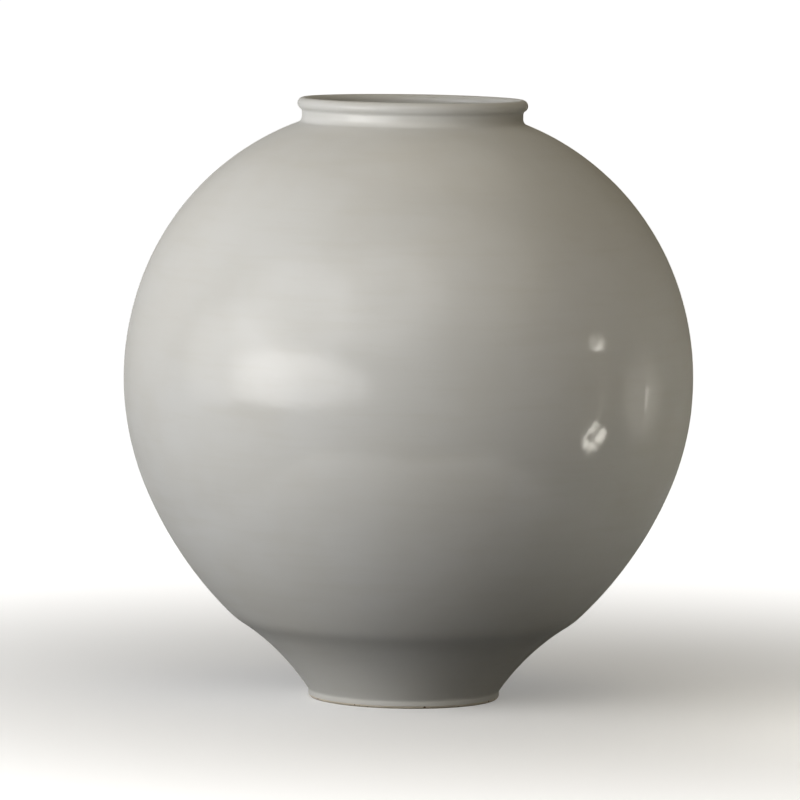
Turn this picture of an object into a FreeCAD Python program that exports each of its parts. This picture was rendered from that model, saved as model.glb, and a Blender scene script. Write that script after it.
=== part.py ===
import FreeCAD, Part
import math
import os
import re

import Sketcher

# A Korean moon jar: two thrown bowls joined rim to rim at the belly, a rolled lip on a short
# neck, a low foot ring, and a coat of milky glaze outside, inside and in the foot's hollow.
# The origin is the middle of the face that the foot stands on, and Z is the jar's axis.

# Driving dimensions: lengths in millimetres, angles in degrees. The outside sizes are those
# of the glazed face, and the clay lies one coat of glaze deeper.
SIZES = {
    "belly_radius": 213.4,
    "shoulder_radius": 198.8,
    "shoulder_angle": 22.5,
    "lower_radius": 288.0,
    "lower_angle": 23.2,
    "crease_radius": 128.0,
    "crease_height": 59.4,
    "foot_curve_radius": 180.0,
    "foot_radius": 71.9,
    "foot_height": 5.6,
    "foot_width": 13.0,
    "foot_taper": 3.0,
    "foot_edge_bevel": 1.0,
    "bare_foot": 2.0,
    "wall": 8.0,
    "floor_thickness": 11.7,
    "glaze": 0.6,
    "slip": 1.0,
    "scarf_rise": 4.0,
    "coil_height": 26.0,
    "coil_depth": 4.0,
    "root_rounding": 4.5,
    "neck_radius": 82.9,
    "neck_wall": 5.75,
    "neck_height": 19.2,
    "throat_rounding": 4.0,
    "lip_rounding": 4.6,
    "lip_hollow": 2.5,
}

# Values worked out from the driving dimensions. An arc's centre is kept by its distance from
# the axis, _r, and its height, _z, and a _share is a direction's part along r or z.
WORKED = {
    "wall_depth": "wall + 2 * glaze",
    "lower_centre_r": "(belly_radius - lower_radius) * cos(lower_angle)",
    "crease_r_share": "(crease_radius - lower_centre_r) / lower_radius",
    "crease_z_share": "sqrt(1 - crease_r_share ^ 2)",
    "lower_centre_z": "crease_height + lower_radius * crease_z_share",
    "belly_z": "lower_centre_z - (lower_radius - belly_radius) * sin(lower_angle)",
    "shoulder_centre_r": "(belly_radius - shoulder_radius) * cos(shoulder_angle)",
    "shoulder_centre_z": "belly_z + (belly_radius - shoulder_radius) * sin(shoulder_angle)",
    # The hollow curve from the foot out to the crease.
    "foot_rise": "crease_height - foot_height",
    "foot_flare": "crease_radius - foot_radius",
    "foot_chord": "sqrt(foot_rise ^ 2 + foot_flare ^ 2)",
    "foot_bow": "sqrt(foot_curve_radius ^ 2 - foot_chord ^ 2 / 4)",
    "foot_curve_r": "foot_radius + foot_flare / 2 + foot_bow * foot_rise / foot_chord",
    "foot_curve_z": "foot_height + foot_rise / 2 - foot_bow * foot_flare / foot_chord",
    # At the crease and at the heel of the foot curve the clay's corner lies on the mitre.
    "turn_r_share": "(foot_curve_r - crease_radius) / foot_curve_radius",
    "turn_z_share": "(foot_curve_z - crease_height) / foot_curve_radius",
    "mitre_share": "1 + crease_r_share * turn_r_share - crease_z_share * turn_z_share",
    "crease_in_r_share": "(crease_r_share + turn_r_share) / mitre_share",
    "crease_in_z_share": "(turn_z_share - crease_z_share) / mitre_share",
    "heel_r_share": "(foot_curve_r - foot_radius) / foot_curve_radius",
    "heel_z_share": "(foot_curve_z - foot_height) / foot_curve_radius / (1 + heel_r_share)",
    "base_z": "foot_height - glaze * heel_z_share",
    "floor_z": "base_z + floor_thickness",
    "well_radius": "foot_radius - foot_width - foot_taper",
    # The neck's root is rounded into the shoulder, and the collar is seated where that starts.
    "root_centre_r": "neck_radius + root_rounding",
    "root_reach": "shoulder_radius + root_rounding",
    "root_r_share": "(root_centre_r - shoulder_centre_r) / root_reach",
    "root_z_share": "sqrt(1 - root_r_share ^ 2)",
    "root_centre_z": "shoulder_centre_z + root_reach * root_z_share",
    "seat_z": "shoulder_centre_z + (shoulder_radius - glaze) * root_z_share",
    "bowl_top_z": "seat_z - slip",
    "bowl_top_r": "shoulder_centre_r + sqrt((shoulder_radius - glaze) ^ 2"
                  " - (bowl_top_z - shoulder_centre_z) ^ 2)",
    # The lip is a roll of clay flush with the mouth's bore, with a small hollow under it.
    "mouth_radius": "neck_radius - neck_wall",
    "crest_z": "seat_z + neck_height",
    "lip_centre_r": "mouth_radius + lip_rounding",
    "lip_centre_z": "crest_z - lip_rounding",
    "hollow_reach": "lip_rounding + lip_hollow",
    "hollow_r_share": "(neck_radius + lip_hollow - lip_centre_r) / hollow_reach",
    "hollow_z_share": "sqrt(1 - hollow_r_share ^ 2)",
    "hollow_centre_z": "lip_centre_z - hollow_reach * hollow_z_share",
    # Inside, the bore of the neck is rounded into the shoulder at the throat.
    "throat_reach": "shoulder_radius - wall_depth + throat_rounding",
    "throat_r_share": "(mouth_radius + throat_rounding - shoulder_centre_r) / throat_reach",
    "throat_z_share": "sqrt(1 - throat_r_share ^ 2)",
    "throat_centre_z": "shoulder_centre_z + throat_reach * throat_z_share",
    # The two faces of the wall at the seam, and the coil pressed over the seam inside.
    "clay_belly": "belly_radius - glaze",
    "inside_radius": "belly_radius - glaze - wall",
    "coil_edge_r": "sqrt(inside_radius ^ 2 - coil_height ^ 2 / 4)",
    "coil_swell": "coil_edge_r - inside_radius + coil_depth",
    "coil_radius": "(coil_height ^ 2 / 4 + coil_swell ^ 2) / (2 * coil_swell)",
    "coil_centre_r": "inside_radius - coil_depth + coil_radius",
    "coil_glaze_r": "(coil_centre_r ^ 2 + (inside_radius - glaze) ^ 2"
                    " - (coil_radius + glaze) ^ 2) / (2 * coil_centre_r)",
    "coil_glaze_half": "sqrt((inside_radius - glaze) ^ 2 - coil_glaze_r ^ 2)",
    # The inside of the floor is a bowl that is level on the axis, of clay and of glaze.
    "bowl_end_r": "lower_centre_r + (lower_radius - glaze - wall) * crease_r_share",
    "bowl_rise": "lower_centre_z - (lower_radius - glaze - wall) * crease_z_share - floor_z",
    "bowl_radius": "(bowl_end_r ^ 2 + bowl_rise ^ 2) / (2 * bowl_rise)",
    "bowl_glaze_end_r": "bowl_end_r - glaze * crease_r_share",
    "bowl_glaze_rise": "bowl_rise + glaze * crease_z_share - glaze",
    "bowl_glaze_radius": "(bowl_glaze_end_r ^ 2 + bowl_glaze_rise ^ 2) / (2 * bowl_glaze_rise)",
}

# Which way an arc turns as the outline is followed.
LEFT = 1
RIGHT = -1
FULL_TURN = 360


def make_sheet(document):
    """Write the driving dimensions to the spreadsheet, one alias a row."""
    sheet = document.addObject("Spreadsheet::Sheet", "Sizes")
    for row, (name, size) in enumerate(SIZES.items(), start=1):
        sheet.set(f"A{row}", name)
        sheet.set(f"B{row}", str(size))
        sheet.setAlias(f"B{row}", name)
    document.recompute()
    return sheet


def make_worked(document):
    """Hold the worked values as properties whose expressions read the spreadsheet."""
    worked = document.addObject("App::VarSet", "Worked")
    for name, text in WORKED.items():
        worked.addProperty("App::PropertyFloat", name)
        worked.setExpression(name, formula(text))
    document.recompute()
    return worked


def formula(text):
    """Point each name in a formula at the object of the document that holds it."""
    def place(word):
        name = word.group()
        if name in SIZES:
            return "Sizes." + name
        if name in WORKED:
            return "Worked." + name
        return name
    return re.sub(r"[a-z_]+", place, text)


class Outline:
    """A path of corners in the half plane beside the axis, joined by lines and arcs."""

    def __init__(self, r, z):
        self.corners = [(r, z)]
        self.edges = []

    def line(self, r, z):
        self.corners.append((r, z))
        self.edges.append(None)
        return self

    def arc(self, r, z, radius, turn):
        self.corners.append((r, z))
        self.edges.append((radius, turn))
        return self

    def part(self, first, last):
        """The stretch of the path from one of its corners to a later one."""
        piece = Outline(*self.corners[first])
        piece.corners = self.corners[first:last + 1]
        piece.edges = self.edges[first:last]
        return piece

    def back(self):
        """The same path followed the other way."""
        piece = Outline(*self.corners[-1])
        piece.corners = self.corners[::-1]
        piece.edges = [edge and (edge[0], -edge[1]) for edge in self.edges[::-1]]
        return piece

    def then(self, other):
        """Carry on along another path, after a line to its first corner if it starts elsewhere."""
        if other.corners[0] != self.corners[-1]:
            self.line(*other.corners[0])
        self.corners += other.corners[1:]
        self.edges += other.edges
        return self


def from_centre(name, radius, r_share, z_share, side="+"):
    """A point on an arc, from the arc's centre, its radius and the shares of its direction."""
    return (f"{name}_centre_r + ({radius}) * {r_share}",
            f"{name}_centre_z {side} ({radius}) * {z_share}")


def on_belly(radius, angle, side):
    """A point on a ball about the belly's middle, at an angle above or below it."""
    return f"({radius}) * cos({angle})", f"belly_z {side} ({radius}) * sin({angle})"


def outside(depth):
    """The face at a depth under the glazed outside, from the heel of the foot to the crest."""
    belly = f"belly_radius - {depth}"
    lower = f"lower_radius - {depth}"
    shoulder = f"shoulder_radius - {depth}"
    lip = f"lip_rounding - {depth}"
    path = Outline(f"foot_radius - {depth}", f"foot_height - {depth} * heel_z_share")
    path.arc(f"crease_radius - {depth} * crease_in_r_share",
             f"crease_height - {depth} * crease_in_z_share", f"foot_curve_radius + {depth}", RIGHT)
    path.arc(*on_belly(belly, "lower_angle", "-"), lower, LEFT)
    path.arc(*on_belly(belly, "shoulder_angle", "+"), belly, LEFT)
    path.arc(*from_centre("shoulder", shoulder, "root_r_share", "root_z_share"), shoulder, LEFT)
    path.arc(f"neck_radius - {depth}", "root_centre_z", f"root_rounding + {depth}", RIGHT)
    path.line(f"neck_radius - {depth}", "hollow_centre_z")
    path.arc(*from_centre("lip", lip, "hollow_r_share", "hollow_z_share", "-"),
             f"lip_hollow + {depth}", RIGHT)
    path.arc("lip_centre_r", f"crest_z - {depth}", lip, LEFT)
    return path


# Corners of the outside path, by their place in it.
HEEL, CREASE, BELLY_LOW, BELLY_HIGH, ROOT, NECK_LOW, NECK_HIGH, LIP_LOW, CREST = range(9)


def inside(depth):
    """The face at a depth under the glazed inside, from the lip's crest to the floor's middle."""
    belly = f"belly_radius - wall_depth + {depth}"
    lower = f"lower_radius - wall_depth + {depth}"
    shoulder = f"shoulder_radius - wall_depth + {depth}"
    glazed = depth == "0"
    coil_r = "coil_glaze_r" if glazed else "coil_edge_r"
    coil_half = "coil_glaze_half" if glazed else "coil_height / 2"
    coil_radius = "coil_radius + glaze" if glazed else "coil_radius"
    bowl_radius = "bowl_glaze_radius" if glazed else "bowl_radius"
    path = Outline("lip_centre_r", f"crest_z - {depth}")
    path.arc(f"mouth_radius + {depth}", "lip_centre_z", f"lip_rounding - {depth}", LEFT)
    path.line(f"mouth_radius + {depth}", "throat_centre_z")
    path.arc(*from_centre("shoulder", shoulder, "throat_r_share", "throat_z_share"),
             f"throat_rounding - {depth}", LEFT)
    path.arc(*on_belly(belly, "shoulder_angle", "+"), shoulder, RIGHT)
    path.arc(coil_r, f"belly_z + {coil_half}", belly, RIGHT)
    path.arc(coil_r, f"belly_z - {coil_half}", coil_radius, LEFT)
    path.arc(*on_belly(belly, "lower_angle", "-"), belly, RIGHT)
    path.arc(*from_centre("lower", lower, "crease_r_share", "crease_z_share", "-"), lower, RIGHT)
    path.arc("0", f"floor_z + glaze - {depth}", bowl_radius, RIGHT)
    return path


# Corners of the inside path, by their place in it.
INNER_CREST, BORE_TOP, BORE_LOW, THROAT, INNER_HIGH, COIL_TOP, COIL_LOW, INNER_LOW, BOWL_TOP, \
    FLOOR = range(10)


def seam_point(radius, rise):
    """A point of the seam's sloping edge, on a ball about the belly's middle."""
    return f"sqrt(({radius}) ^ 2 - ({rise}) ^ 2)", f"belly_z + {rise}"


def lower_bowl():
    clay = outside("glaze")
    lining = inside("glaze")
    path = Outline("0", "base_z")
    path.then(clay.part(HEEL, BELLY_LOW))
    path.arc(*seam_point("clay_belly", "scarf_rise - slip / 2"), "clay_belly", LEFT)
    path.line(*seam_point("inside_radius", "(0 - scarf_rise - slip / 2)"))
    path.arc(*lining.corners[INNER_LOW], "inside_radius", RIGHT)
    return path.then(lining.part(INNER_LOW, FLOOR))


def upper_bowl():
    clay = outside("glaze")
    lining = inside("glaze")
    path = Outline(*seam_point("clay_belly", "scarf_rise + slip / 2"))
    path.arc(*clay.corners[BELLY_HIGH], "clay_belly", LEFT)
    path.arc("bowl_top_r", "bowl_top_z", "shoulder_radius - glaze", LEFT)
    path.line("mouth_radius + glaze", "bowl_top_z")
    path.then(lining.part(BORE_LOW, INNER_HIGH))
    return path.arc(*seam_point("inside_radius", "(0 - scarf_rise + slip / 2)"),
                    "inside_radius", RIGHT)


def belly_joint():
    """The slip between the bowls' rims, which slope inwards so that the upper one nests."""
    path = Outline(*seam_point("clay_belly", "scarf_rise - slip / 2"))
    path.arc(*seam_point("clay_belly", "scarf_rise + slip / 2"), "clay_belly", LEFT)
    path.line(*seam_point("inside_radius", "(0 - scarf_rise + slip / 2)"))
    return path.arc(*seam_point("inside_radius", "(0 - scarf_rise - slip / 2)"),
                    "inside_radius", RIGHT)


def belly_inside_coil():
    lining = inside("glaze")
    path = Outline("coil_edge_r", "belly_z - coil_height / 2")
    path.arc("coil_edge_r", "belly_z + coil_height / 2", "inside_radius", LEFT)
    return path.then(lining.part(COIL_TOP, COIL_LOW))


def neck_joint():
    clay = outside("glaze")
    path = Outline("mouth_radius + glaze", "bowl_top_z")
    path.line("bowl_top_r", "bowl_top_z")
    path.arc(*clay.corners[ROOT], "shoulder_radius - glaze", LEFT)
    return path.line("mouth_radius + glaze", "seat_z")


def neck_collar():
    path = Outline("mouth_radius + glaze", "seat_z")
    path.then(outside("glaze").part(ROOT, CREST))
    return path.then(inside("glaze").part(INNER_CREST, BORE_TOP))


def foot_joint():
    path = Outline("well_radius", "base_z - slip")
    path.line("foot_radius - glaze", "base_z - slip")
    path.line("foot_radius - glaze", "base_z")
    return path.line("well_radius", "base_z")


def foot_ring():
    """The ring that the jar stands on, with its edges bevelled and its inner face tapered."""
    rim = "foot_radius - glaze"
    hole = "foot_radius - foot_width"
    bevel = "foot_edge_bevel"
    path = Outline(f"{hole} + {bevel}", "0")
    path.line(f"{rim} - {bevel}", "0")
    path.line(rim, bevel)
    path.line(rim, "base_z - slip")
    path.line("well_radius", "base_z - slip")
    return path.line(hole, bevel)


def outer_glaze():
    """The coat outside, which stops short of the foot's standing edge."""
    path = Outline("foot_radius - glaze", "bare_foot")
    path.line("foot_radius", "bare_foot")
    path.then(outside("0"))
    return path.then(outside("glaze").back())


def inner_glaze():
    return inside("0").then(inside("glaze").back())


def foot_well_glaze():
    path = Outline("0", "base_z - glaze")
    path.line("well_radius", "base_z - glaze")
    path.line("well_radius", "base_z")
    return path.line("0", "base_z")


PIECES = [lower_bowl, upper_bowl, belly_joint, belly_inside_coil, neck_joint, neck_collar,
          foot_joint, foot_ring, outer_glaze, inner_glaze, foot_well_glaze]


def arc_between(start, end, radius, turn):
    """The arc of a radius from one point to another that turns left or right on its way."""
    half = (end - start) / 2
    bow = math.sqrt(radius ** 2 - half.Length ** 2) if radius > half.Length else 0
    aside = FreeCAD.Vector(-half.y, half.x, 0).normalize() * bow * turn
    centre = start + half + aside
    first, last = (start, end) if turn == LEFT else (end, start)
    angles = [math.atan2(point.y - centre.y, point.x - centre.x) for point in (first, last)]
    circle = Part.Circle(centre, FreeCAD.Vector(0, 0, 1), radius)
    return Part.ArcOfCircle(circle, *angles)


def draw(sketch, path, worth):
    """Draw a closed outline in a sketch and bind its corners and radii to the spreadsheet."""
    if path.corners[-1] == path.corners[0]:
        corners = path.corners[:-1]
        edges = list(path.edges)
    else:
        corners = list(path.corners)
        edges = path.edges + [None]
    points = [FreeCAD.Vector(worth(r), worth(z), 0) for r, z in corners]
    ends = []
    for place, edge in enumerate(edges):
        start = points[place]
        end = points[(place + 1) % len(points)]
        if edge is None:
            index = sketch.addGeometry(Part.LineSegment(start, end))
            ends.append((index, 1, 2))
            continue
        radius, turn = edge
        index = sketch.addGeometry(arc_between(start, end, worth(radius), turn))
        ends.append((index, 1, 2) if turn == LEFT else (index, 2, 1))
        bind(sketch, radius, worth, "Radius", index)
    for place, (r, z) in enumerate(corners):
        before, _, arrival = ends[place - 1]
        index, departure, _ = ends[place]
        sketch.addConstraint(Sketcher.Constraint("Coincident", before, arrival, index, departure))
        place_corner(sketch, "DistanceX", r, index, departure, worth, -2)
        place_corner(sketch, "DistanceY", z, index, departure, worth, -1)


def place_corner(sketch, kind, text, index, end, worth, axis):
    """Hold a corner at its distance from an axis of the sketch, or on that axis."""
    if text == "0":
        sketch.addConstraint(Sketcher.Constraint("PointOnObject", index, end, axis))
    else:
        bind(sketch, text, worth, kind, index, end)


def bind(sketch, text, worth, kind, *where):
    """Add a dimension whose value follows a formula."""
    number = sketch.addConstraint(Sketcher.Constraint(kind, *where, worth(text)))
    sketch.setExpression(f"Constraints[{number}]", formula(text))


def turn_piece(document, outline, worth):
    """Make one sub-part: its outline in the plane of the axis, turned all the way round."""
    name = outline.__name__
    body = document.addObject("PartDesign::Body", name)
    body.Label = name
    sketch = body.newObject("Sketcher::SketchObject", name + "_outline")
    plane = next(item for item in body.Origin.OriginFeatures if item.Role == "XZ_Plane")
    sketch.AttachmentSupport = [(plane, "")]
    sketch.MapMode = "FlatFace"
    draw(sketch, outline(), worth)
    document.recompute()
    turned = body.newObject("PartDesign::Revolution", name + "_turned")
    turned.Profile = sketch
    turned.ReferenceAxis = (sketch, ["V_Axis"])
    turned.Angle = FULL_TURN
    sketch.Visibility = False
    document.recompute()
    body.Placement = FreeCAD.Placement()
    return body


def check(document, bodies):
    """Stop if any object failed or any sub-part isn't one sound solid."""
    for item in document.Objects:
        if "Invalid" in item.State or "Error" in item.State:
            raise RuntimeError(f"{item.Label} is {item.State}")
    for body in bodies:
        if body.Shape.isNull() or not body.Shape.isValid() or len(body.Shape.Solids) != 1:
            raise RuntimeError(f"{body.Label} isn't one sound solid")


def main():
    document = FreeCAD.newDocument("moon_jar")
    sheet = make_sheet(document)
    make_worked(document)

    def worth(text):
        """The number that a formula comes to."""
        return float(sheet.evalExpression(formula(text)))

    bodies = [turn_piece(document, outline, worth) for outline in PIECES]
    document.recompute()
    check(document, bodies)
    os.makedirs("parts", exist_ok=True)
    for body in bodies:
        body.Shape.exportStep(f"parts/{body.Label}.step")
        print(f"{body.Label}: {body.Shape.Volume:.0f} cubic mm")
    print(f"height {worth('crest_z'):.2f}, belly at {worth('belly_z'):.2f},"
          f" seat {worth('seat_z'):.2f}, throat {worth('throat_centre_z'):.2f}")


main()
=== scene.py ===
from math import acos, asin, atan2, ceil, cos, degrees, hypot, pi, radians, sin, sqrt, tau

import bpy
from mathutils import Euler, Matrix, Quaternion, Vector
from mathutils.noise import noise


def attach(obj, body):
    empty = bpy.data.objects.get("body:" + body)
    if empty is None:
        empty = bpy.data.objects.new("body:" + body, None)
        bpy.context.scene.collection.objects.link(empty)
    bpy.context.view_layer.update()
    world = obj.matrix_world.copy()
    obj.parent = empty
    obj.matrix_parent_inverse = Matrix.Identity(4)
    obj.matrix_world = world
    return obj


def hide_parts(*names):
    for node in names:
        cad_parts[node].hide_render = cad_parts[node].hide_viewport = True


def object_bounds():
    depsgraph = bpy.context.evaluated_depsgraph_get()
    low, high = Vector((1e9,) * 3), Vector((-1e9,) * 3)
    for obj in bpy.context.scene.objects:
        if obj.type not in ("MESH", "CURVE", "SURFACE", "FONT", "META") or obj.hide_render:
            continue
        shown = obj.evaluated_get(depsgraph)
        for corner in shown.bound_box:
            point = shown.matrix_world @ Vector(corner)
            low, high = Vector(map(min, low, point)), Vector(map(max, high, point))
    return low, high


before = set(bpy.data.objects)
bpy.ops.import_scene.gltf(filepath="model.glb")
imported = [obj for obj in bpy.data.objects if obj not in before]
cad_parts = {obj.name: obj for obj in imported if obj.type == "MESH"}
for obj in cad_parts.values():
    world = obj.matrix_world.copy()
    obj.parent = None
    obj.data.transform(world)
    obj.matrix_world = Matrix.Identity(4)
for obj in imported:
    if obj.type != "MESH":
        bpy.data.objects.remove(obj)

cad_low, cad_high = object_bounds()

# The jar's glazed outline in metres and degrees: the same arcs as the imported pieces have.
BELLY = 0.2134
SHOULDER, SHOULDER_ANGLE = 0.1988, radians(22.5)
LOWER, LOWER_ANGLE = 0.288, radians(23.2)
CREASE_R, CREASE_Z = 0.128, 0.0594
FOOT_CURVE, FOOT_R, FOOT_Z = 0.18, 0.0719, 0.0056
BARE_FOOT = 0.002
GLAZE, WALL = 0.0006, 0.008
ROOT_ROUNDING, THROAT_ROUNDING = 0.0045, 0.004
NECK_R, NECK_WALL = 0.0829, 0.00575
LIP, LIP_HOLLOW = 0.0046, 0.0025

TOP = cad_high.z
FLOOR_TOP = 0.0181
AROUND = 232
STEP = 0.0021
# The coat's face wavers by up to these depths, in rings from the wheel and in broad patches
# from the hand: each grain is how far the relief reaches along x, y and z.
THROWING_GRAIN, THROWING_DEPTH = (0.2, 0.2, 0.0075), 0.00008
HAND_GRAIN, HAND_DEPTH = (0.07, 0.07, 0.045), 0.0002


class Value:
    """A number or colour that flows through a material, and takes part in Python's sums."""

    def __init__(self, finish, socket):
        self.finish = finish
        self.socket = socket

    def maths(self, operation, *others):
        return self.finish.node("ShaderNodeMath", {"operation": operation},
                                dict(enumerate((self, *others))))

    def __add__(self, other):
        return self.maths("ADD", other)

    def __sub__(self, other):
        return self.maths("SUBTRACT", other)

    def __rsub__(self, other):
        return self.maths("MULTIPLY_ADD", -1, other)

    def __mul__(self, other):
        return self.maths("MULTIPLY", other)

    def __truediv__(self, other):
        return self.maths("DIVIDE", other)

    def __pow__(self, other):
        return self.maths("POWER", other)

    def __gt__(self, other):
        return self.maths("GREATER_THAN", other)

    def __abs__(self):
        return self.maths("ABSOLUTE")

    def most(self, other):
        return self.maths("MAXIMUM", other)

    def least(self, other):
        return self.maths("MINIMUM", other)

    def ramp(self, low, high, smooth=True):
        """0 below one value and 1 above another, with a smooth rise between them."""
        kind = "SMOOTHSTEP" if smooth else "LINEAR"
        return self.finish.node("ShaderNodeMapRange", {"interpolation_type": kind, "clamp": True},
                                {"Value": self, "From Min": low, "From Max": high})

    __radd__ = __add__
    __rmul__ = __mul__


class Finish:
    """A material under construction: its node tree and the shader that it ends in."""

    def __init__(self, name):
        self.material = bpy.data.materials.new(name)
        self.material.use_nodes = True
        self.tree = self.material.node_tree
        self.tree.nodes.clear()
        self.output = self.tree.nodes.new("ShaderNodeOutputMaterial")

    def node(self, kind, settings=None, inputs=None, output=0):
        """Add a node, set it up, feed its inputs and hand back one of its outputs."""
        made = self.tree.nodes.new(kind)
        for name, setting in (settings or {}).items():
            setattr(made, name, setting)
        for name, value in (inputs or {}).items():
            if isinstance(value, Value):
                self.tree.links.new(value.socket, made.inputs[name])
            elif value is not None:
                made.inputs[name].default_value = value
        return Value(self, made.outputs[output])

    def place(self):
        """Where a point lies on the piece."""
        return self.node("ShaderNodeTexCoord", output="Object")

    def stretched(self, scale, turn=(0, 0, 0)):
        """The place on the piece, with each axis scaled, for a pattern with a grain."""
        return self.node("ShaderNodeMapping", {},
                         {"Vector": self.place(), "Scale": scale, "Rotation": turn})

    def height(self):
        return self.node("ShaderNodeSeparateXYZ", {}, {"Vector": self.place()}, "Z")

    def clouds(self, scale, detail=3.0, rough=0.5, grain=(1, 1, 1)):
        """Soft noise from 0 to 1, with blotches of about one over the scale in metres."""
        return self.node("ShaderNodeTexNoise", {},
                         {"Vector": self.stretched(grain), "Scale": scale, "Detail": detail,
                          "Roughness": rough}, "Fac")

    def mix(self, share, first, second):
        """A colour between two others."""
        made = self.tree.nodes.new("ShaderNodeMix")
        made.data_type = "RGBA"
        for index, value in ((0, share), (6, first), (7, second)):
            if isinstance(value, Value):
                self.tree.links.new(value.socket, made.inputs[index])
            else:
                made.inputs[index].default_value = value
        return Value(self, made.outputs[2])

    def bump(self, relief, depth, under=None):
        """Tilt the surface by a relief whose full height is a depth in metres."""
        return self.node("ShaderNodeBump", {},
                         {"Height": relief, "Distance": depth, "Strength": 1.0, "Normal": under})

    def end(self, shader):
        self.tree.links.new(shader.socket, self.output.inputs["Surface"])
        return self.material


def colour(red, green, blue):
    """A colour given as it looks on a screen, from 0 to 255, as the light that it sends."""
    shares = [channel / 255 for channel in (red, green, blue)]
    linear = [share / 12.92 if share <= 0.04045 else ((share + 0.055) / 1.055) ** 2.4
              for share in shares]
    return (*linear, 1.0)


def milky_glaze():
    """Thick off-white glaze with a faint green-grey depth, soft streaks and orange peel, and
    painted shade that darkens and warms it towards the foot.
    """
    made = Finish("milky_glaze")
    height = made.height()
    blotches = made.clouds(9, 3, 0.55)
    streaks = made.clouds(14, 4, 0.6, (1, 1, 11))
    base = made.mix(blotches.ramp(0.35, 0.7), colour(211, 211, 208), colour(207, 206, 201))
    base = made.mix(streaks.ramp(0.45, 0.75) * 0.15, base, colour(198, 195, 184))
    # Painted shade: the glaze's colour turns darker and warmer below about 0.14 m, towards the
    # foot.
    painted_lower_shade = 1 - height.ramp(0.03, 0.14)
    base = made.mix(painted_lower_shade * 0.3, base, colour(200, 196, 184))
    peel = made.clouds(260, 2, 0.5)
    swell = made.clouds(45, 2, 0.5)
    normal = made.bump(swell, 0.0004)
    normal = made.bump(peel, 0.00004, normal)
    body = made.node("ShaderNodeBsdfPrincipled", {}, {
        "Base Color": base, "Roughness": 0.08, "Specular IOR Level": 0.0, "Normal": normal})
    shine = made.node("ShaderNodeBsdfAnisotropic", {}, {
        "Color": (1, 1, 1, 1), "Roughness": 0.1, "Normal": normal})
    return made.end(made.node("ShaderNodeMixShader", {}, {0: 0.035, 1: body, 2: shine}))


def fired_clay():
    """Bare fired clay, matt and slightly sandy, with a few dark specks."""
    made = Finish("fired_clay")
    grain = made.clouds(900, 2, 0.6)
    blotches = made.clouds(30, 3, 0.5)
    specks = made.clouds(420, 0, 0.5)
    base = made.mix(blotches, colour(214, 205, 188), colour(196, 184, 164))
    base = made.mix(specks.ramp(0.72, 0.78), base, colour(96, 74, 54))
    return made.end(made.node("ShaderNodeBsdfPrincipled", {}, {
        "Base Color": base, "Roughness": 0.85, "Normal": made.bump(grain, 0.0001)}))


def arc(centre, radius, start, end, step=STEP):
    """Points along an arc from one angle to another, the first left out."""
    count = max(2, ceil(abs(end - start) * radius / step))
    return [(centre[0] + radius * cos(start + (end - start) * i / count),
             centre[1] + radius * sin(start + (end - start) * i / count))
            for i in range(1, count + 1)]


def straight(start, end, step=STEP):
    """Points along a line, the first left out."""
    count = max(1, ceil(hypot(end[0] - start[0], end[1] - start[1]) / step))
    return [(start[0] + (end[0] - start[0]) * i / count, start[1] + (end[1] - start[1]) * i / count)
            for i in range(1, count + 1)]


def soften(points, corner, reach):
    """Ease a corner of an outline with a curve over so many points to each side of it."""
    first, middle, last = (Vector(points[corner + i]) for i in (-reach, 0, reach))
    for i in range(1, 2 * reach):
        share = i / (2 * reach)
        eased = first.lerp(middle, share).lerp(middle.lerp(last, share), share)
        points[corner - reach + i] = tuple(eased)


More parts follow.
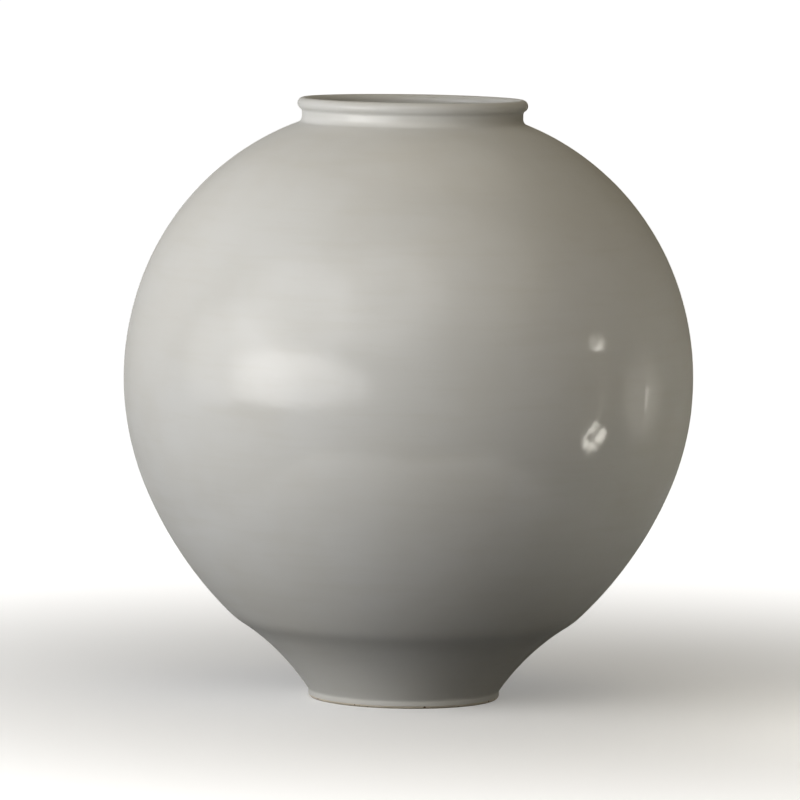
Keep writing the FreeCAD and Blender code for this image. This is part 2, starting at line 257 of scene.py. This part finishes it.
def glaze_outline():
    """The coat's face from the foot's bare edge, over the lip and down to the floor's middle."""
    lower_r = (BELLY - LOWER) * cos(LOWER_ANGLE)
    crease_angle = acos((CREASE_R - lower_r) / LOWER)
    lower = (lower_r, CREASE_Z + LOWER * sin(crease_angle))
    belly = (0, lower[1] - (LOWER - BELLY) * sin(LOWER_ANGLE))
    shoulder = ((BELLY - SHOULDER) * cos(SHOULDER_ANGLE),
                belly[1] + (BELLY - SHOULDER) * sin(SHOULDER_ANGLE))
    rise, flare = CREASE_Z - FOOT_Z, CREASE_R - FOOT_R
    chord = hypot(rise, flare)
    bow = sqrt(FOOT_CURVE ** 2 - chord ** 2 / 4)
    foot = (FOOT_R + flare / 2 + bow * rise / chord, FOOT_Z + rise / 2 - bow * flare / chord)
    reach = SHOULDER + ROOT_ROUNDING
    root_angle = acos((NECK_R + ROOT_ROUNDING - shoulder[0]) / reach)
    root = (NECK_R + ROOT_ROUNDING, shoulder[1] + reach * sin(root_angle))
    mouth = NECK_R - NECK_WALL
    lip = (mouth + LIP, TOP - LIP)
    hollow_angle = acos((NECK_R + LIP_HOLLOW - lip[0]) / (LIP + LIP_HOLLOW))
    hollow = (NECK_R + LIP_HOLLOW, lip[1] - (LIP + LIP_HOLLOW) * sin(hollow_angle))
    depth = WALL + 2 * GLAZE
    inner_reach = SHOULDER - depth + THROAT_ROUNDING
    throat_angle = acos((mouth + THROAT_ROUNDING - shoulder[0]) / inner_reach)
    throat = (mouth + THROAT_ROUNDING, shoulder[1] + inner_reach * sin(throat_angle))
    bowl_end = (lower[0] + (LOWER - depth) * cos(crease_angle),
                lower[1] - (LOWER - depth) * sin(crease_angle))
    bowl_rise = bowl_end[1] - FLOOR_TOP
    bowl = (bowl_end[0] ** 2 + bowl_rise ** 2) / (2 * bowl_rise)
    fine = STEP / 3
    points = [(FOOT_R, BARE_FOOT)]
    points += straight(points[-1], (FOOT_R, FOOT_Z), fine)
    points += arc(foot, FOOT_CURVE, atan2(FOOT_Z - foot[1], FOOT_R - foot[0]),
                  atan2(CREASE_Z - foot[1], CREASE_R - foot[0]))
    corner = len(points) - 1
    points += arc(lower, LOWER, -crease_angle, -LOWER_ANGLE)
    soften(points, corner, 3)
    points += arc(belly, BELLY, -LOWER_ANGLE, SHOULDER_ANGLE)
    points += arc(shoulder, SHOULDER, SHOULDER_ANGLE, root_angle)
    points += arc(root, ROOT_ROUNDING, root_angle - pi, -pi, fine)
    points += straight(points[-1], (NECK_R, hollow[1]), fine)
    points += arc(hollow, LIP_HOLLOW, pi, pi - hollow_angle, fine)
    points += arc(lip, LIP, -hollow_angle, pi, fine)
    points += straight(points[-1], (mouth, throat[1]), fine)
    points += arc(throat, THROAT_ROUNDING, pi, pi + throat_angle, fine)
    inside = 3 * STEP
    points += arc(shoulder, SHOULDER - depth, throat_angle, SHOULDER_ANGLE, inside)
    points += arc(belly, BELLY - depth, SHOULDER_ANGLE, -LOWER_ANGLE, inside)
    points += arc(lower, LOWER - depth, -LOWER_ANGLE, -crease_angle, inside)
    points += arc((0, FLOOR_TOP + bowl), bowl, atan2(bowl_end[1] - FLOOR_TOP - bowl, bowl_end[0]),
                  -pi / 2, inside)
    return points


def select_only(piece):
    bpy.ops.object.select_all(action="DESELECT")
    piece.select_set(True)
    bpy.context.view_layer.objects.active = piece


def throw(name, points):
    """Draw an outline from one point outwards and spin it round the axis, as on a wheel."""
    bpy.ops.object.select_all(action="DESELECT")
    bpy.ops.mesh.primitive_plane_add(size=STEP, location=(points[0][0], 0, points[0][1]))
    piece = bpy.context.object
    piece.name = name
    bpy.ops.object.transform_apply(location=True)
    bpy.ops.object.mode_set(mode="EDIT")
    bpy.ops.mesh.select_all(action="SELECT")
    bpy.ops.mesh.merge(type="CENTER")
    for (r, z), (next_r, next_z) in zip(points, points[1:]):
        bpy.ops.mesh.extrude_region_move(
            TRANSFORM_OT_translate={"value": (next_r - r, 0, next_z - z)})
    bpy.ops.mesh.select_all(action="SELECT")
    bpy.ops.mesh.spin(steps=AROUND, angle=tau, center=(0, 0, 0), axis=(0, 0, 1))
    bpy.ops.mesh.select_all(action="SELECT")
    bpy.ops.mesh.remove_doubles(threshold=1e-6)
    bpy.ops.mesh.normals_make_consistent(inside=False)
    bpy.ops.object.mode_set(mode="OBJECT")
    bpy.ops.object.shade_smooth()
    return piece


def glaze_coat():
    piece = throw("glaze_coat", glaze_outline())
    for name, grain, depth in (("throwing", THROWING_GRAIN, THROWING_DEPTH),
                               ("hand", HAND_GRAIN, HAND_DEPTH)):
        texture = bpy.data.textures.new(name, "CLOUDS")
        texture.noise_scale = 1.0
        texture.noise_depth = 1
        guide = bpy.data.objects.new(name, None)
        bpy.context.scene.collection.objects.link(guide)
        guide.scale = grain
        relief = piece.modifiers.new(name, "DISPLACE")
        relief.texture = texture
        relief.texture_coords = "OBJECT"
        relief.texture_coords_object = guide
        relief.mid_level = 0
        relief.strength = -depth
        bpy.context.view_layer.update()
        select_only(piece)
        bpy.ops.object.modifier_apply(modifier=name)
        bpy.data.objects.remove(guide)
    bpy.ops.object.mode_set(mode="EDIT")
    bpy.ops.mesh.select_all(action="SELECT")
    bpy.ops.mesh.normals_make_consistent(inside=False)
    bpy.ops.object.mode_set(mode="OBJECT")
    piece.data.materials.append(milky_glaze())
    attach(piece, "root")
    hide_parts("outer_glaze", "inner_glaze")
    return piece


def dress_clay():
    clay = fired_clay()
    for name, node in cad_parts.items():
        if name in ("outer_glaze", "inner_glaze"):
            continue
        node.data.materials.clear()
        node.data.materials.append(clay)


def seen_share(made):
    """1 for what the camera sees, straight or in a reflection, and 0 for the light's own way."""
    path = {}
    for ray in ("Is Camera Ray", "Is Glossy Ray", "Is Transmission Ray"):
        path[ray] = made.node("ShaderNodeLightPath", output=ray)
    return path["Is Camera Ray"].most(path["Is Glossy Ray"]).most(path["Is Transmission Ray"])


FLOOR_SIZE = 60
FLOOR_SHOWN = (0.8, 0.8, 0.795, 1)
FLOOR_BOUNCE = 0.06
GLOW_NEAR, GLOW_FAR = 0.22, 1.0


def floor():
    bpy.ops.object.select_all(action="DESELECT")
    bpy.ops.mesh.primitive_circle_add(vertices=64, radius=FLOOR_SIZE, fill_type="NGON")
    piece = bpy.context.object
    piece.name = "floor"
    made = Finish("pale_floor")
    seen = seen_share(made)
    away = made.node("ShaderNodeVectorMath", {"operation": "LENGTH"}, {0: made.place()}, "Value")
    glow = away.ramp(0.15, 1.1) * (GLOW_FAR - GLOW_NEAR) + GLOW_NEAR
    shown = made.node("ShaderNodeBsdfDiffuse", {}, {"Color": FLOOR_SHOWN})
    light = made.node("ShaderNodeEmission", {}, {"Color": (1, 1, 1, 1), "Strength": glow})
    shown = made.node("ShaderNodeAddShader", {}, {0: shown, 1: light})
    unseen = made.node("ShaderNodeBsdfDiffuse", {}, {"Color": (FLOOR_BOUNCE,) * 3 + (1,)})
    piece.data.materials.append(made.end(made.node("ShaderNodeMixShader", {},
                                                   {0: seen, 1: unseen, 2: shown})))


ROOM_LIGHT = (0.05, 0.046, 0.036, 1)


def room():
    """Dim warm light from all round, behind a background that shows white."""
    world = bpy.data.worlds.new("room")
    bpy.context.scene.world = world
    world.use_nodes = True
    made = Finish.__new__(Finish)
    made.tree = world.node_tree
    made.tree.nodes.clear()
    made.output = made.tree.nodes.new("ShaderNodeOutputWorld")
    seen = seen_share(made)
    white = made.node("ShaderNodeBackground", {}, {"Color": (1, 1, 1, 1), "Strength": 1.0})
    dim = made.node("ShaderNodeBackground", {}, {"Color": ROOM_LIGHT, "Strength": 1.0})
    mixed = made.node("ShaderNodeMixShader", {}, {0: seen, 1: dim, 2: white})
    made.tree.links.new(mixed.socket, made.output.inputs["Surface"])


def card(name, place, aim, width, height, material):
    """A flat card that the camera looks through, turned to face a point."""
    bpy.ops.object.select_all(action="DESELECT")
    bpy.ops.mesh.primitive_plane_add(size=1)
    piece = bpy.context.object
    piece.name = name
    piece.scale = (width, height, 1)
    bpy.ops.object.transform_apply(scale=True)
    piece.location = place
    piece.rotation_euler = (Vector(aim) - Vector(place)).to_track_quat("Z", "Y").to_euler()
    piece.data.materials.append(material)
    piece.visible_camera = False
    return piece


WALL_GLOW = (0.04, 0.034, 0.018, 1)


def flags():
    """Dark cards round the jar, open behind it, that keep the white off its flanks."""
    made = Finish("dark_card")
    dull = made.node("ShaderNodeBsdfDiffuse", {}, {"Color": (0.03, 0.028, 0.024, 1)})
    glow = made.node("ShaderNodeEmission", {}, {"Color": WALL_GLOW, "Strength": 1.0})
    material = made.end(made.node("ShaderNodeAddShader", {}, {0: dull, 1: glow}))
    side, front, back, top = 2.4, -2.6, 2.4, 2.8
    middle = top / 2
    card("flag_left", (-side, (front + back) / 2, middle), (0, (front + back) / 2, middle),
         back - front, top, material)
    card("flag_right", (side, (front + back) / 2, middle), (0, (front + back) / 2, middle),
         back - front, top, material)
    card("flag_top", (0, 0, top), (0, 0, 0), 2 * side, 2 * side + 0.4, material)
    card("flag_front", (0, front, middle), (0, 0, middle), 2 * side, top, material)
    card("flag_above_slot", (0, back, (top + SLOT_TOP) / 2), (0, 0, (top + SLOT_TOP) / 2),
         2 * SLOT, top - SLOT_TOP, material)
    for hand in (-1, 1):
        x = hand * (side + SLOT) / 2
        card("flag_back", (x, back, middle), (x, 0, middle), side - SLOT, top, material)
        for near, far, edge in ((-FLOOR_SHOWN_FRONT, 0.4, 0.35), (0.4, back, 0.48)):
            flat("flag_beside", hand * (side + edge) / 2, (near + far) / 2, side - edge,
                 far - near)
    flat("flag_before", 0, (front - FLOOR_SHOWN_FRONT) / 2, 2 * side,
         -front - FLOOR_SHOWN_FRONT)


def flat(name, x, y, width, depth):
    """A card lying on the floor outside the picture, pale by the jar and dark farther out."""
    made = Finish(name)
    away = made.node("ShaderNodeVectorMath", {"operation": "LENGTH"}, {0: made.place()}, "Value")
    shade = made.mix(away.ramp(0.3, 0.9), FLAT_GLOW, WALL_GLOW)
    material = made.end(made.node("ShaderNodeEmission", {}, {"Color": shade, "Strength": 1.0}))
    piece = card(name, (x, y, 0.001), (x, y, 1), width, depth, material)
    select_only(piece)
    bpy.ops.object.transform_apply(location=True, rotation=True)
    piece.visible_shadow = False
    piece.visible_diffuse = False


FLAT_GLOW = (0.32, 0.31, 0.28, 1)
SLOT, SLOT_TOP = 0.3, 0.8
FLOOR_SHOWN_FRONT = 0.58
LAMP_AIM = Vector((0, 0, 0.24))
LAMP_AWAY = 1.7


def glowing(name, width, height, strength, tint, edge, ragged=0):
    """Light that fades towards a card's edge, in patches if it is ragged, on a clear card."""
    made = Finish(name)
    across = made.node("ShaderNodeMapping", {},
                       {"Vector": made.place(), "Scale": (2 / width, 2 / height, 0)})
    away = made.node("ShaderNodeVectorMath", {"operation": "LENGTH"}, {0: across}, "Value")
    power = (1 - away.ramp(edge, 1)) * strength
    if ragged:
        patches = made.node("ShaderNodeTexNoise", {},
                            {"Vector": across, "Scale": ragged, "Detail": 3.0}, "Fac")
        power = power * patches.ramp(0.47, 0.56)
    light = made.node("ShaderNodeEmission", {}, {"Color": (*tint, 1), "Strength": power})
    clear = made.node("ShaderNodeBsdfTransparent")
    return made.end(made.node("ShaderNodeAddShader", {}, {0: clear, 1: light}))


def soft_lamp(name, azimuth, elevation, width, height, strength, tint=(1, 1, 1)):
    """A card that glows, brightest in its middle, placed by its angles as seen from the jar."""
    azimuth, elevation = radians(azimuth), radians(elevation)
    toward = Vector((-sin(azimuth) * cos(elevation), -cos(azimuth) * cos(elevation),
                     sin(elevation)))
    return card(name, LAMP_AIM + LAMP_AWAY * toward, LAMP_AIM, width, height,
                glowing(name, width, height, strength, tint, 0.45))


# Each lamp: its angles to the left of the camera and above the floor, its width and height in
# metres, its strength and its tint.
LAMPS = (
    ("key", 50, 22, 2.0, 2.0, 1.6, (0.985, 0.985, 1)),
    ("side", 70, 6, 2.2, 1.3, 1.7, (0.985, 0.985, 1)),
    ("low", 44, 2, 2.4, 0.8, 3.2, (0.99, 0.985, 0.98)),
    ("front", 12, 35, 1.8, 1.8, 1.2, (1, 0.985, 0.965)),
    ("back_left", 130, 20, 2.2, 2.2, 0.8, (0.97, 0.97, 1)),
    ("back_right", -150, 75, 1.6, 1.6, 0.6, (1, 0.9, 0.7)),
    ("fill", -35, 45, 2.2, 2.2, 0.45, (1, 0.86, 0.64)),
)
# Each glint on the right: where its card stands, its width and height, its strength, how far
# out it is even, and how finely it is broken up.
GLINTS = (
    ("glint_patch", (0.495, -0.01, 0.2), 0.25, 0.24, 1.3, 0.5, 0),
    ("glint_core", (0.484, 0.003, 0.205), 0.04, 0.07, 5.0, 0.3, 0),
    ("glint_high", (0.478, -0.197, 0.349), 0.07, 0.05, 16.0, 0.6, 1.6),
    ("glint_low", (0.46, -0.199, 0.11), 0.1, 0.1, 16.0, 0.7, 1.9),
    ("glint_line", (0.47, -0.197, 0.2), 0.02, 0.22, 1.5, 0.3, 0),
)


def lamps():
    for lamp in LAMPS:
        soft_lamp(*lamp)
    for name, place, width, height, strength, edge, ragged in GLINTS:
        facing = Vector((0.17, -0.13, place[2]))
        card(name, place, facing, width, height,
             glowing(name, width, height, strength, (1, 0.96, 0.87), edge, ragged))


CAMERA_PLACE = Vector((0, -4.74, 0.6409))
CAMERA_AIM = Vector((-0.0061, 0, 0.2237))
CAMERA_ROLL = radians(0.89)
CAMERA_LENS = 285.6


def camera():
    data = bpy.data.cameras.new("camera")
    data.lens = CAMERA_LENS
    data.sensor_width = 36
    piece = bpy.data.objects.new("camera", data)
    bpy.context.scene.collection.objects.link(piece)
    piece.location = CAMERA_PLACE
    turn = (CAMERA_AIM - CAMERA_PLACE).to_track_quat("-Z", "Y")
    piece.rotation_euler = (turn @ Quaternion((0, 0, 1), CAMERA_ROLL)).to_euler()
    data.clip_end = 200
    bpy.context.scene.camera = piece


glaze_coat()
dress_clay()
floor()
room()
flags()
lamps()
camera()
bpy.context.scene.view_settings.view_transform = "Standard"
